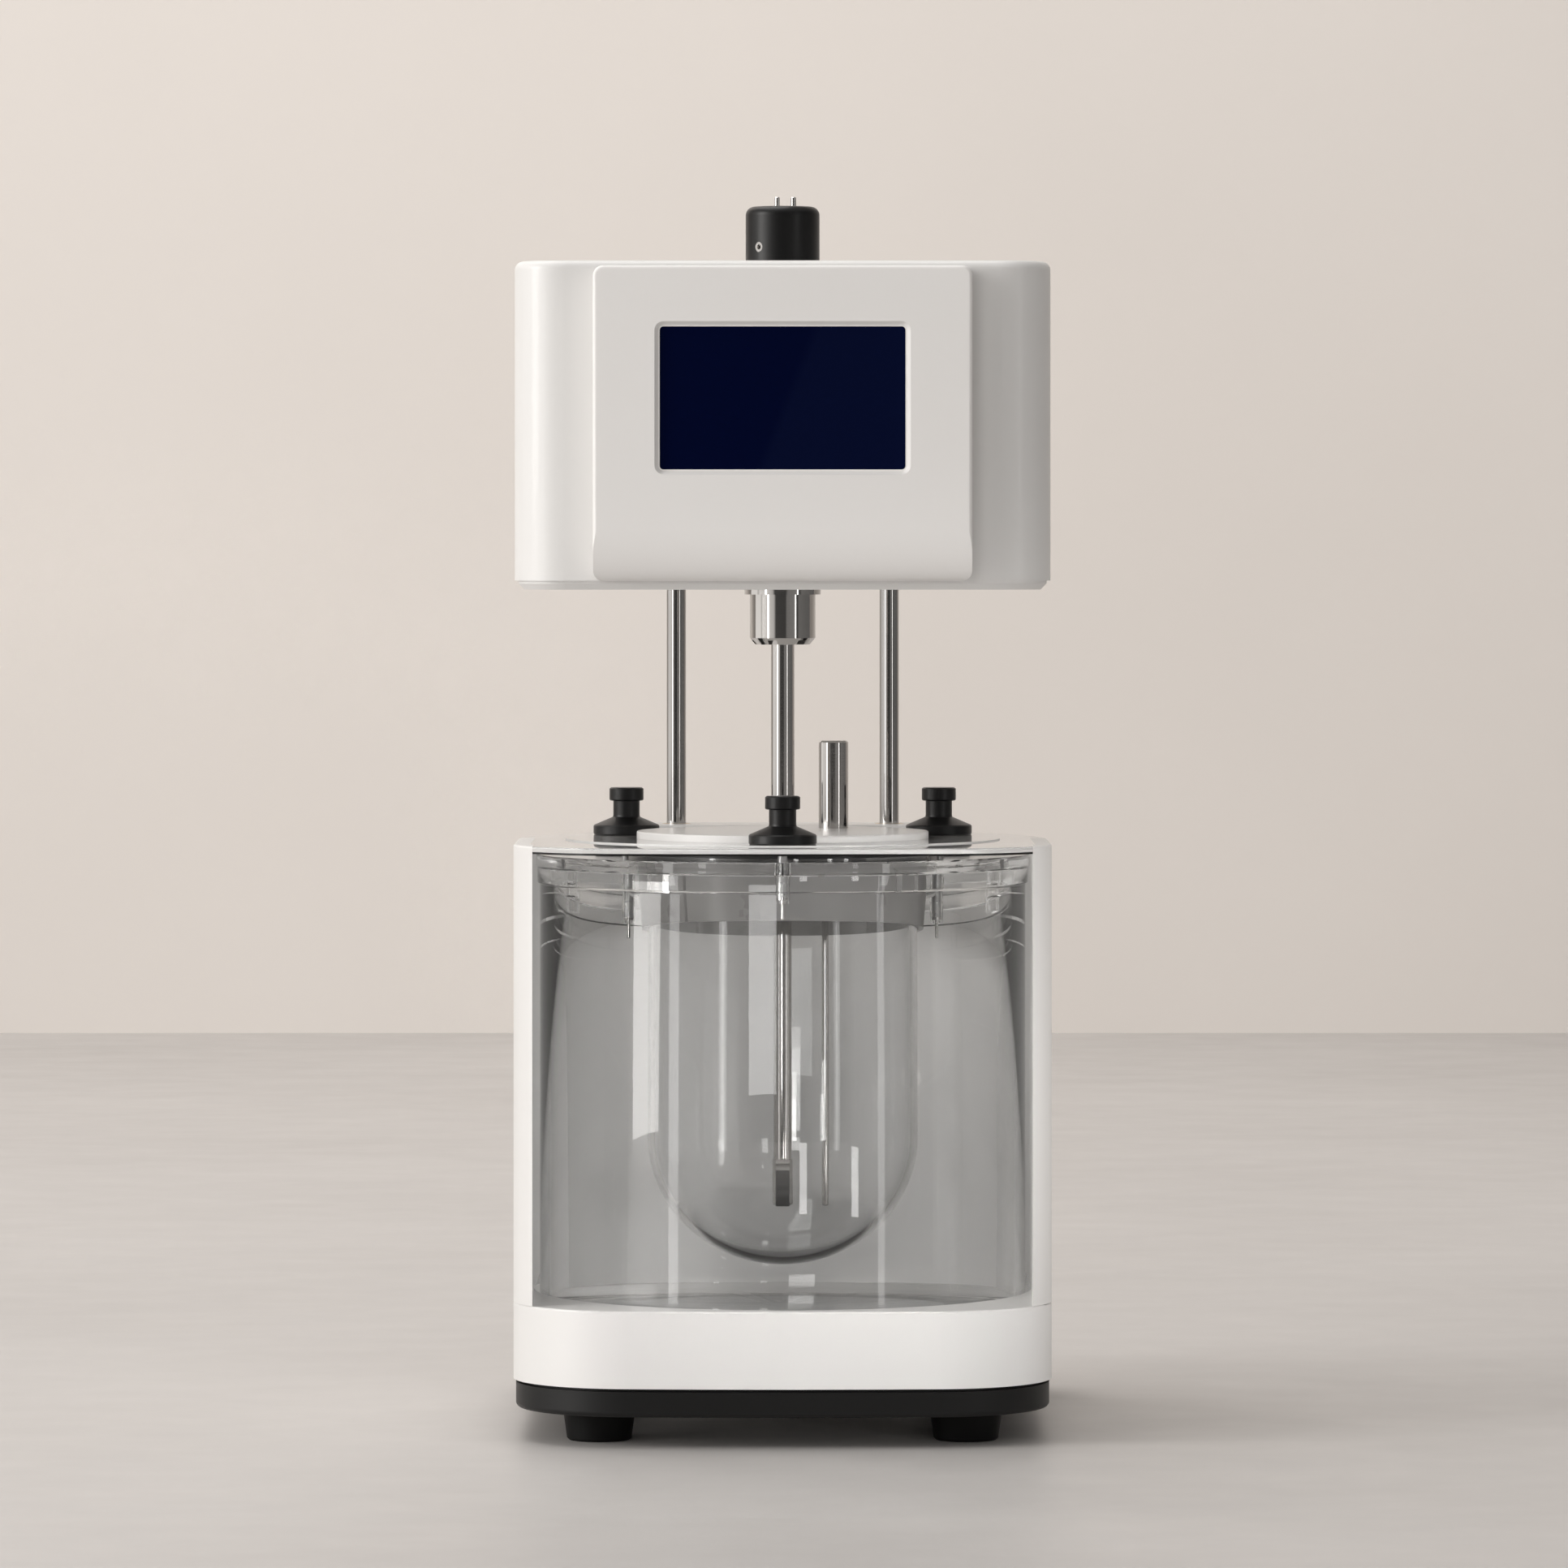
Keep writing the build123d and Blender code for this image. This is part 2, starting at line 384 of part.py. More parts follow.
panel = panel_body(0, HEAD_YF, PANEL_HALF)
outline = face_prism(2 * PANEL_HALF, PANEL_Z1 - HEAD_Z0, PANEL_R, PANEL_Y, HEAD_YF, (PANEL_Z1 + HEAD_Z0) / 2)
outline = fillet(outline.faces().sort_by(Axis.Y)[0].edges(), 1.4)
panel = panel & outline
panel = panel - panel_body(WALL, HEAD_YF + 1, PANEL_HALF - WALL)
panel = panel + box(-54, 54, PANEL_Y + 1.0, PANEL_Y + 4.0, SCREEN_Z - 34, SCREEN_Z + 34)
pocket = loft([(Plane(origin=(0, PANEL_Y, SCREEN_Z), x_dir=(1, 0, 0), z_dir=(0, -1, 0)) * RectangleRounded(RECESS_W, RECESS_H, RECESS_R)).face(),
               (Plane(origin=(0, PANEL_Y + RECESS_D, SCREEN_Z), x_dir=(1, 0, 0), z_dir=(0, -1, 0))
                * RectangleRounded(SCREEN_W + 1.2, SCREEN_H + 1.2, 2.4)).face()])
panel = panel - pocket
panel = panel - face_prism(SCREEN_W, SCREEN_H, SCREEN_R, PANEL_Y - 1, PANEL_Y + 10, SCREEN_Z)
save(panel, "front_panel")

save(face_prism(SCREEN_W, SCREEN_H, SCREEN_R, PANEL_Y + 2.2, PANEL_Y + 4.0, SCREEN_Z), "display_glass")
display = box(-50, 50, PANEL_Y + 4.0, PANEL_Y + 8.5, SCREEN_Z - 30, SCREEN_Z + 30)
display = display + box(-56, 56, PANEL_Y + 8.5, PANEL_Y + 10.1, SCREEN_Z - 38, SCREEN_Z + 38)
for bx, bz, bw, bh in ((-30, 12, 14, 14), (10, 10, 22, 12), (34, -18, 10, 16)):
    display = display + box(bx - bw / 2, bx + bw / 2, PANEL_Y + 10.0, PANEL_Y + 13.0, SCREEN_Z + bz - bh / 2, SCREEN_Z + bz + bh / 2)
save(display, "display_module")

chassis = box(-60, 60, HEAD_YF + 8, ROD_Y + 18, HEAD_Z0, CHASSIS_Z1)
for sx in (-1, 1):
    chassis = chassis + cyl(9.0, CHASSIS_Z1, 361.0, sx * ROD_X, ROD_Y)
    chassis = chassis - cyl(ROD_R, HEAD_Z0 - 1, 362.0, sx * ROD_X, ROD_Y)
chassis = chassis - cyl(NOSE_R + 0.06, HEAD_Z0 - 1, CHASSIS_Z1 + 1, 0, Y_AXIS)
save(chassis, "drive_chassis")

rods = [chamfer(circles(cyl(ROD_R, CROSS_Z0, 387.0, sx * ROD_X, ROD_Y), ROD_R), 0.5) for sx in (-1, 1)]
save(Compound(children=rods), "lift_rods")
cross = box(-54, 54, ROD_Y - 6, SCREW_Y + 9, CROSS_Z0, CROSS_Z1) - cyl(SCREW_R + 0.08, CROSS_Z0 - 1, CROSS_Z1 + 1, 0, SCREW_Y)
for sx in (-1, 1):
    cross = cross - cyl(ROD_R, CROSS_Z0 - 1, CROSS_Z1 + 1, sx * ROD_X, ROD_Y)
save(cross, "crosshead")

nose = turned([(7.9, NOSE_Z0), (10.9, NOSE_Z0), (NOSE_R, NOSE_Z0 + 2.6), (NOSE_R, NOSE_FLANGE_Z0), (NOSE_FLANGE_R, NOSE_FLANGE_Z0),
               (NOSE_FLANGE_R, PAN_Z0), (NOSE_R, PAN_Z0), (NOSE_R, 366.0), (BEARING_R, 366.0), (BEARING_R, 314.0),
               (7.9, 314.0)], 0, Y_AXIS)
for a in range(10, 370, 60):
    nose = nose - Pos(0, Y_AXIS, 0) * Rot(0, 0, a) * box(9.0, 14.0, -1.9, 1.9, NOSE_Z0 - 1, NOSE_Z0 + 1.7)
save(nose, "spindle_nose")
bearings = [cyl(BEARING_R, z, z + 7.0, 0, Y_AXIS) - cyl(SPINDLE_R + 0.05, z - 1, z + 8, 0, Y_AXIS) for z in (314.0, 358.0)]
save(Compound(children=bearings), "spindle_bearings")
spindle = cyl(SPINDLE_R, SPINDLE_Z0, SPINDLE_Z1, 0, Y_AXIS) - cyl(SPINDLE_BORE, SPINDLE_Z0 - 1, SPINDLE_Z1 + 1, 0, Y_AXIS)
save(spindle, "spindle_tube")


def pulley(r, teeth, bore, y, hub):
    g = 0.55 * math.pi * r / teeth
    sk = Circle(r) - [loc * Circle(g) for loc in PolarLocations(r, teeth)]
    p = Pos(0, y, PULLEY_Z0) * extrude(sk, PULLEY_Z1 - PULLEY_Z0)
    p = p + cyl(r + 1.8, PULLEY_Z0 - 1.2, PULLEY_Z0, 0, y) + cyl(hub, PULLEY_Z0 - 6, PULLEY_Z0, 0, y)
    return p - cyl(bore, PULLEY_Z0 - 8, PULLEY_Z1 + 2, 0, y)


save(pulley(PULLEY_R, SPINDLE_TEETH, SPINDLE_R, Y_AXIS, 11.0), "spindle_pulley")
save(pulley(MOTOR_PULLEY_R, MOTOR_TEETH, 2.5, MOTOR_Y, 6.0), "motor_pulley")
save(cyl(2.5, 372.0, 412.0, 0, MOTOR_Y), "motor_shaft")
motor = cyl(MOTOR_R, CHASSIS_Z1, 386.0, 0, MOTOR_Y)
motor = chamfer(circles(motor, MOTOR_R), 1.2) - cyl(2.55, 372.0, 390.0, 0, MOTOR_Y)
save(motor, "drive_motor")


def band(ra, rb, z0, z1):
    """outline round both pulleys: their outer tangents joined by arcs"""
    d = MOTOR_Y - Y_AXIS
    s = (ra - rb) / d
    c = math.sqrt(1 - s * s)
    pa, pb = (ra * c, Y_AXIS + ra * s), (rb * c, MOTOR_Y + rb * s)
    w = Wire([Line(pa, pb), ThreePointArc(pb, (0, MOTOR_Y + rb), (-pb[0], pb[1])), Line((-pb[0], pb[1]), (-pa[0], pa[1])),
              ThreePointArc((-pa[0], pa[1]), (0, Y_AXIS - ra), pa)])
    return Pos(0, 0, z0) * extrude(make_face(w), z1 - z0)


ra, rb = PULLEY_R + BELT_GAP, MOTOR_PULLEY_R + BELT_GAP
belt = band(ra + BELT_T, rb + BELT_T, PULLEY_Z0 + 0.6, PULLEY_Z1 - 0.6) - band(ra, rb, PULLEY_Z0 - 1, PULLEY_Z1 + 1)
save(belt, "drive_belt")

# ================================================================ stirrer
shaft = (cyl(SHAFT_R_LOW, PADDLE_Z0 + 1.0, SHAFT_STEP_Z, 0, Y_AXIS)
         + cyl(SHAFT_R_TOP, SHAFT_STEP_Z, 481.0, 0, Y_AXIS))
save(shaft, "stirrer_shaft")

zb, zt, tw, lw = PADDLE_Z0, PADDLE_Z1, PADDLE_TOP_HALF, PADDLE_LOW_HALF
chord = math.hypot(tw - lw, zt - zb)
sag = 41.5 - math.sqrt(41.5 ** 2 - (chord / 2) ** 2)
mx = (tw + lw) / 2 + sag * (zt - zb) / chord
mz = (zt + zb) / 2 - sag * (tw - lw) / chord
blade_wire = Wire([Line((0, -tw, zt), (0, tw, zt)), ThreePointArc((0, tw, zt), (0, mx, mz), (0, lw, zb)),
                   Line((0, lw, zb), (0, -lw, zb)), ThreePointArc((0, -lw, zb), (0, -mx, mz), (0, -tw, zt))])
blade = Pos(-PADDLE_T / 2, Y_AXIS, 0) * extrude(make_face(blade_wire), PADDLE_T, dir=(1, 0, 0))
hub = chamfer(circles(cyl(HUB_R, zb, zt, 0, Y_AXIS), HUB_R), 0.4)
paddle = (blade + hub) - cyl(SHAFT_R_LOW, zb + 1.0, zt + 1, 0, Y_AXIS)
save(paddle, "paddle_blade")

cap = cyl(CAP_R, HEAD_Z1 + 0.2, CAP_Z1, 0, Y_AXIS)
cap = fillet(circles(cap, CAP_R).group_by(Axis.Z)[-1], 3.5)
cap = cap - cyl(SHAFT_R_TOP, HEAD_Z1 - 1, 481.0, 0, Y_AXIS)
along = Pos(0, Y_AXIS, SET_SCREW_Z) * Rot(0, 0, SET_SCREW_ANGLE) * Rot(0, 90, 0)
set_screw = along * (Pos(0, 0, 9.8) * Cylinder(SET_SCREW_R, 9.4) - Pos(0, 0, 13.0) * extrude(RegularPolygon(1.1, 6), 3.0))
cap = cap - along * (Pos(0, 0, 10.6) * Cylinder(SET_SCREW_R, 11.0))
cap_pins = []
for px in CAP_PINS:
    pin = chamfer(circles(cyl(PIN_R, 482.0, PIN_Z1, px, Y_AXIS), PIN_R).group_by(Axis.Z)[-1], 0.3)
    cap_pins.append(pin)
    cap = cap - cyl(PIN_R, 482.0, PIN_Z1 + 1, px, Y_AXIS)
save(cap, "drive_cap")
save(Compound(children=cap_pins), "cap_pins")
save(set_screw, "cap_set_screw")

# ================================================================ vessel cover and temperature probe
cover = fillet(circles(cyl(COVER_R, SEAT_Z, COVER_Z1, 0, Y_AXIS), COVER_R).group_by(Axis.Z)[-1], 0.6)
cover = cover + cyl(50.3, 230.6, SEAT_Z, 0, Y_AXIS)
cover = cover - cyl(COVER_HOLE_R, 228, 240, 0, Y_AXIS) - cyl(PROBE_R, 228, 240, PROBE_X, PROBE_Y)
save(cover, "vessel_cover")
handle = cyl(HANDLE_R, COVER_Z1, HANDLE_Z1, HANDLE_X, HANDLE_Y)
handle = chamfer(circles(handle, HANDLE_R).group_by(Axis.Z)[-1], 0.8)
handle = handle - cyl(PROBE_R, COVER_Z1 - 1, 248.0, PROBE_X, PROBE_Y)
save(handle, "probe_handle")
probe = cyl(PROBE_R, PROBE_Z0, 248.0, PROBE_X, PROBE_Y)
probe = chamfer(circles(probe, PROBE_R).group_by(Axis.Z)[0], 0.5)
save(probe, "temperature_probe")
print("done")
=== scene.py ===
import json
import math

import bmesh
import bpy
from mathutils import Matrix, Vector


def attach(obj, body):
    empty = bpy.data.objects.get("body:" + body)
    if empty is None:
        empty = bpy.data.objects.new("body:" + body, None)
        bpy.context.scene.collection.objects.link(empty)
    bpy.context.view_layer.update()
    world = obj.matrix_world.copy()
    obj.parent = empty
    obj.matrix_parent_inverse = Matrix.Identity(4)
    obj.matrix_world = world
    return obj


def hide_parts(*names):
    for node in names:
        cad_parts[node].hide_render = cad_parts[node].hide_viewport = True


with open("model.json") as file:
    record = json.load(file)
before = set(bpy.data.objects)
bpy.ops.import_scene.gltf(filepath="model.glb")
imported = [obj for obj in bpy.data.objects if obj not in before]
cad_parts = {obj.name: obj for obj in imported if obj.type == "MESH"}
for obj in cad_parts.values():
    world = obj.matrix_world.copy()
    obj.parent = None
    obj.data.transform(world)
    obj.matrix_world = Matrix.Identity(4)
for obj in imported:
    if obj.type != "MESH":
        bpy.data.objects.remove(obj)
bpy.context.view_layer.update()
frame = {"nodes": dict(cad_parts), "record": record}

AXIS_Y = -0.023

# ---------------------------------------------------------------- camera
cam_data = bpy.data.cameras.new("camera")
cam_data.lens = 195.65
cam_data.sensor_width = 36.0
cam_data.shift_y = -0.1636
cam_data.clip_start, cam_data.clip_end = 0.05, 50.0
cam = bpy.data.objects.new("camera", cam_data)
cam.location = (0.00055, AXIS_Y - 3.4125, 0.358)
cam.rotation_euler = (math.radians(90), 0, 0)
bpy.context.scene.collection.objects.link(cam)
bpy.context.scene.camera = cam


# ---------------------------------------------------------------- material helpers
def tree(name):
    m = bpy.data.materials.new(name)
    m.use_nodes = True
    nt = m.node_tree
    p = nt.nodes["Principled BSDF"]
    return m, nt, p


def new(nt, kind, **props):
    n = nt.nodes.new(kind)
    for k, v in props.items():
        setattr(n, k, v)
    return n


def coords(nt, scale=(1, 1, 1)):
    tc = new(nt, "ShaderNodeTexCoord")
    mp = new(nt, "ShaderNodeMapping")
    mp.inputs["Scale"].default_value = scale
    nt.links.new(tc.outputs["Object"], mp.inputs["Vector"])
    return mp.outputs["Vector"]


def noise(nt, vec, scale, detail=3.0, rough=0.5):
    n = new(nt, "ShaderNodeTexNoise")
    n.inputs["Scale"].default_value = scale
    n.inputs["Detail"].default_value = detail
    n.inputs["Roughness"].default_value = rough
    nt.links.new(vec, n.inputs["Vector"])
    return n.outputs["Fac"]


def ramp(nt, fac, stops):
    r = new(nt, "ShaderNodeValToRGB")
    el = r.color_ramp.elements
    while len(el) < len(stops):
        el.new(0.5)
    for e, (pos, col) in zip(el, stops):
        e.position = pos
        e.color = (col[0], col[1], col[2], 1.0) if len(col) == 3 else col
    nt.links.new(fac, r.inputs["Fac"])
    return r.outputs["Color"]


def remap(nt, fac, lo, hi):
    r = new(nt, "ShaderNodeMapRange")
    r.inputs["From Min"].default_value = 0.25
    r.inputs["From Max"].default_value = 0.75
    r.inputs["To Min"].default_value = lo
    r.inputs["To Max"].default_value = hi
    nt.links.new(fac, r.inputs["Value"])
    return r.outputs["Result"]


def bump(nt, p, height, strength, distance):
    b = new(nt, "ShaderNodeBump")
    b.inputs["Strength"].default_value = strength
    b.inputs["Distance"].default_value = distance
    nt.links.new(height, b.inputs["Height"])
    nt.links.new(b.outputs["Normal"], p.inputs["Normal"])


def shade(c, k):
    return tuple(max(0.0, v * k) for v in c)


def moulded(name, colour, rough, spread=0.015, vary=0.03, grain=1400.0, depth=0.00001, strength=0.08, coat=0.0, ior=1.5):
    """moulded plastic or rubber: faint cloudiness in the colour, fine surface grain, uneven gloss"""
    m, nt, p = tree(name)
    v = coords(nt)
    cloud = noise(nt, v, 9.0, 4.0, 0.55)
    nt.links.new(ramp(nt, cloud, [(0.3, shade(colour, 1 - vary)), (0.7, shade(colour, 1 + vary))]), p.inputs["Base Color"])
    gloss = noise(nt, v, 38.0, 5.0, 0.6)
    nt.links.new(remap(nt, gloss, rough - spread, rough + spread), p.inputs["Roughness"])
    bump(nt, p, noise(nt, v, grain, 2.0, 0.5), strength, depth)
    p.inputs["Coat Weight"].default_value = coat
    p.inputs["Coat Roughness"].default_value = 0.05
    p.inputs["IOR"].default_value = ior
    return m


def metal(name, colour, rough, scale=(1, 1, 1), spread=0.04, lines=500.0, depth=0.000004, strength=0.2, vary=0.05):
    """metal with the fine marks of how it was finished, stretched by scale"""
    m, nt, p = tree(name)
    v = coords(nt, scale)
    marks = noise(nt, v, lines, 3.0, 0.6)
    cloud = noise(nt, coords(nt), 30.0, 3.0, 0.5)
    nt.links.new(ramp(nt, cloud, [(0.3, shade(colour, 1 - vary)), (0.7, shade(colour, 1 + vary))]), p.inputs["Base Color"])
    nt.links.new(remap(nt, marks, rough - spread, rough + spread), p.inputs["Roughness"])
    p.inputs["Metallic"].default_value = 1.0
    bump(nt, p, marks, strength, depth)
    return m


def clear(name, colour, ior, rough=0.0, tint_noise=0.02):
    """clear wall: bends light, and lets lamps reach what stands behind it"""
    m, nt, p = tree(name)
    v = coords(nt)
    cloud = noise(nt, v, 14.0, 2.0, 0.5)
    nt.links.new(ramp(nt, cloud, [(0.3, shade(colour, 1 - tint_noise)), (0.7, colour)]), p.inputs["Base Color"])
    p.inputs["Transmission Weight"].default_value = 1.0
    p.inputs["IOR"].default_value = ior
    p.inputs["Roughness"].default_value = rough
    path = new(nt, "ShaderNodeLightPath")
    see = new(nt, "ShaderNodeBsdfTransparent")
    see.inputs["Color"].default_value = (0.985, 0.987, 0.987, 1)
    mix = new(nt, "ShaderNodeMixShader")
    nt.links.new(path.outputs["Is Shadow Ray"], mix.inputs[0])
    nt.links.new(p.outputs["BSDF"], mix.inputs[1])
    nt.links.new(see.outputs["BSDF"], mix.inputs[2])
    soft = new(nt, "ShaderNodeMixShader")
    nt.links.new(path.outputs["Is Diffuse Ray"], soft.inputs[0])
    nt.links.new(mix.outputs["Shader"], soft.inputs[1])
    nt.links.new(see.outputs["BSDF"], soft.inputs[2])
    nt.links.new(soft.outputs["Shader"], nt.nodes["Material Output"].inputs["Surface"])
    return m


MATS = {
    "white_housing": moulded("white_housing", (0.75, 0.742, 0.731), 0.36, vary=0.006, coat=0.12),
    "panel_grey": moulded("panel_grey", (0.85, 0.835, 0.82), 0.38, vary=0.006, grain=2200.0, strength=0.12),
    "bay_grey": moulded("bay_grey", (0.9, 0.894, 0.887), 0.34, vary=0.01),
    "black_plastic": moulded("black_plastic", (0.0065, 0.0065, 0.0066), 0.45, vary=0.18, grain=1800.0, strength=0.2, ior=1.36),
    "knob_black": moulded("knob_black", (0.0042, 0.0042, 0.0044), 0.36, vary=0.2, grain=2400.0, strength=0.18, ior=1.4),
    "black_rubber": moulded("black_rubber", (0.0025, 0.0025, 0.0025), 0.6, vary=0.3, grain=900.0, strength=0.3, ior=1.3),
    "belt_rubber": moulded("belt_rubber", (0.012, 0.012, 0.012), 0.6, vary=0.2, strength=0.3),
    "board_green": moulded("board_green", (0.02, 0.13, 0.06), 0.4, vary=0.2, strength=0.2),
    "motor_paint": moulded("motor_paint", (0.03, 0.03, 0.032), 0.35, vary=0.1, strength=0.2),
    "polished_steel": metal("polished_steel", (0.62, 0.605, 0.59), 0.07, scale=(0.15, 0.15, 9.0), spread=0.02, strength=0.04),
    "rod_chrome": metal("rod_chrome", (0.53, 0.52, 0.51), 0.06, scale=(6.0, 6.0, 0.1), spread=0.015, strength=0.02),
    "screw_steel": metal("screw_steel", (0.52, 0.52, 0.51), 0.25),
    "spring_steel": metal("spring_steel", (0.42, 0.42, 0.42), 0.3),
    "heater_alloy": metal("heater_alloy", (0.55, 0.55, 0.55), 0.42, lines=200.0),
    "bare_alloy": metal("bare_alloy", (0.62, 0.62, 0.62), 0.32, scale=(8.0, 0.2, 1.0)),
    "contact_brass": metal("contact_brass", (0.68, 0.50, 0.22), 0.22),
    "bush_bronze": metal("bush_bronze", (0.50, 0.34, 0.16), 0.35),
    "clear_plastic": clear("clear_plastic", (0.992, 0.994, 0.993), 1.46, 0.0, tint_noise=0.004),
    "vessel_glass": clear("vessel_glass", (0.93, 0.932, 0.933), 1.47, 0.0, tint_noise=0.004),
}

# the deck's clear sheet: faint haze on its faces, satin sawn edges that catch the light
deck_clear = clear("deck_clear", (0.95, 0.947, 0.94), 1.46, 0.0, tint_noise=0.004)
nt = deck_clear.node_tree
p = nt.nodes["Principled BSDF"]
geo = new(nt, "ShaderNodeNewGeometry")
sep = new(nt, "ShaderNodeSeparateXYZ")
nt.links.new(geo.outputs["Normal"], sep.inputs["Vector"])
flat = new(nt, "ShaderNodeMath", operation="ABSOLUTE")
nt.links.new(sep.outputs["Z"], flat.inputs[0])


def between(fac, f0, f1, t0, t1):
    part = new(nt, "ShaderNodeMapRange")
    for k, val in (("From Min", f0), ("From Max", f1), ("To Min", t0), ("To Max", t1)):
        part.inputs[k].default_value = val
    nt.links.new(fac, part.inputs["Value"])
    return part.outputs["Result"]


def times(a, b):
    n = new(nt, "ShaderNodeMath", operation="MULTIPLY")
    nt.links.new(a, n.inputs[0])
    nt.links.new(b, n.inputs[1])
    return n.outputs[0]


# painted shade: a thin near-black opaque line along the foot of the sheet's edge, standing in for the dark gap between
# deck and lid
where = new(nt, "ShaderNodeTexCoord")
height = new(nt, "ShaderNodeSeparateXYZ")
nt.links.new(where.outputs["Object"], height.inputs["Vector"])
painted_gap_line = times(between(height.outputs["Z"], 0.23120, 0.23128, 1.0, 0.0), between(flat.outputs[0], 0.4, 0.8, 1.0, 0.0))
nt.links.new(times(between(flat.outputs[0], 0.4, 0.8, 0.50, 0.84), between(painted_gap_line, 0.0, 1.0, 1.0, 0.0)), p.inputs["Transmission Weight"])
nt.links.new(between(flat.outputs[0], 0.4, 0.8, 0.24, 0.02), p.inputs["Roughness"])
# mixes the near-black painted gap shade into the sheet's colour
painted_gap_mix = new(nt, "ShaderNodeMix", data_type="RGBA")
nt.links.new(painted_gap_line, painted_gap_mix.inputs["Factor"])
nt.links.new(p.inputs["Base Color"].links[0].from_socket, painted_gap_mix.inputs["A"])
painted_gap_mix.inputs["B"].default_value = (0.006, 0.006, 0.006, 1)
nt.links.new(painted_gap_mix.outputs["Result"], p.inputs["Base Color"])

# grey satin collar; its rim where it meets the deck is painted near-black, a painted shade standing in for the dark gap
# under the deck
m, nt, p = tree("smoky_collar")
v = coords(nt)
grey = ramp(nt, noise(nt, v, 25.0, 3.0), [(0.3, (0.140, 0.137, 0.134)), (0.7, (0.168, 0.165, 0.162))])
tc = new(nt, "ShaderNodeTexCoord")
sep = new(nt, "ShaderNodeSeparateXYZ")
nt.links.new(tc.outputs["Object"], sep.inputs["Vector"])
painted_rim_shade = new(nt, "ShaderNodeMapRange")
painted_rim_shade.inputs["From Min"].default_value = 0.22665
painted_rim_shade.inputs["From Max"].default_value = 0.22675
nt.links.new(sep.outputs["Z"], painted_rim_shade.inputs["Value"])
mix = new(nt, "ShaderNodeMix", data_type="RGBA")
nt.links.new(painted_rim_shade.outputs["Result"], mix.inputs["Factor"])
nt.links.new(grey, mix.inputs["A"])
# near-black painted shade on the rim above this height
mix.inputs["B"].default_value = (0.006, 0.006, 0.006, 1)
nt.links.new(mix.outputs["Result"], p.inputs["Base Color"])
nt.links.new(remap(nt, noise(nt, v, 60.0, 3.0), 0.26, 0.34), p.inputs["Roughness"])
p.inputs["IOR"].default_value = 1.45
bump(nt, p, noise(nt, v, 1200.0, 2.0), 0.12, 0.00001)
MATS["smoky_collar"] = m

# dark display glass, a touch lighter on one side of a diagonal: a painted sheen standing in for a reflection
m, nt, p = tree("screen_glass")
tc = new(nt, "ShaderNodeTexCoord")
dot = new(nt, "ShaderNodeVectorMath", operation="DOT_PRODUCT")
dot.inputs[1].default_value = (0.93, 0.0, -0.37)
nt.links.new(tc.outputs["Object"], dot.inputs[0])
painted_sheen_edge = new(nt, "ShaderNodeMapRange")
painted_sheen_edge.inputs["From Min"].default_value = -0.1510
painted_sheen_edge.inputs["From Max"].default_value = -0.1470
nt.links.new(dot.outputs["Value"], painted_sheen_edge.inputs["Value"])
# the lighter colour past the diagonal is the painted sheen
nt.links.new(ramp(nt, painted_sheen_edge.outputs["Result"], [(0.0, (0.0008, 0.0026, 0.0215)), (1.0, (0.0022, 0.0045, 0.0255))]), p.inputs["Base Color"])
nt.links.new(remap(nt, noise(nt, coords(nt), 50.0, 3.0), 0.05, 0.09), p.inputs["Roughness"])
p.inputs["Specular IOR Level"].default_value = 0.1
MATS["screen_glass"] = m

slot_of = {s["node"]: s["material_slot"] for s in frame["record"]["subparts"]}
for node, obj in frame["nodes"].items():
    mat = deck_clear if node == "deck_plate" else MATS[slot_of[node]]
    if not obj.material_slots:
        obj.data.materials.append(mat)
    for s in obj.material_slots:
        s.material = mat


# ---------------------------------------------------------------- rebuilt clear pieces
def lathe(name, profile, steps=192, smooth_angle=35.0, y=AXIS_Y, x=0.0):
    """closed ring of faces turned about the vertical axis from (r, z) points in metres"""
    me = bpy.data.meshes.new(name)
    bm = bmesh.new()
    rings = []
    for r, z in profile:
        if r < 1e-7:
            rings.append([bm.verts.new((x, y, z))])
        else:
            rings.append([bm.verts.new((x + r * math.cos(2 * math.pi * i / steps), y + r * math.sin(2 * math.pi * i / steps), z))
                          for i in range(steps)])
    closed = not (len(rings[0]) == 1 and len(rings[-1]) == 1)
    pairs = list(zip(rings, rings[1:])) + ([(rings[-1], rings[0])] if closed else [])
    for a, b in pairs:
        for i in range(steps):
            j = (i + 1) % steps
            if len(a) == 1:
                bm.faces.new((a[0], b[j], b[i]))
            elif len(b) == 1:
                bm.faces.new((a[i], a[j], b[0]))
            else:
                bm.faces.new((a[i], a[j], b[j], b[i]))
    bmesh.ops.recalc_face_normals(bm, faces=bm.faces)
    bm.to_mesh(me)
    bm.free()
    for poly in me.polygons:
        poly.use_smooth = True
    me.set_sharp_from_angle(angle=math.radians(smooth_angle))
    ob = bpy.data.objects.new(name, me)
    bpy.context.scene.collection.objects.link(ob)
    return ob


def arc(cr, cz, r, a0, a1, n):
    return [(cr + r * math.cos(math.radians(a0 + (a1 - a0) * i / n)), cz + r * math.sin(math.radians(a0 + (a1 - a0) * i / n)))
            for i in range(n + 1)]


def finish_piece(ob, body, node, slot):
    ob.data.materials.append(MATS[slot])
    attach(ob, body)
    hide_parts(node)
    return ob


mm = 0.001
# vessel: hanging rim, straight wall, hemispherical bottom
eq = 120.5
outside = [(0.0, 66.5)] + arc(0, eq, 54.0, -88, 0, 44)
rim = [(54.0, 229.8), (54.2, 230.3), (56.2, 230.4), (56.6, 230.7), (56.7, 231.2), (56.7, 232.2), (56.4, 232.7), (55.8, 232.9),
       (52.0, 232.9), (51.3, 232.6), (51.0, 232.0)]
inside = arc(0, eq, 51.0, 0, -88, 44) + [(0.0, 69.5)]
vessel = lathe("vessel_clear", [(r * mm, z * mm) for r, z in outside + rim + inside])
finish_piece(vessel, "base", "vessel", "vessel_glass")

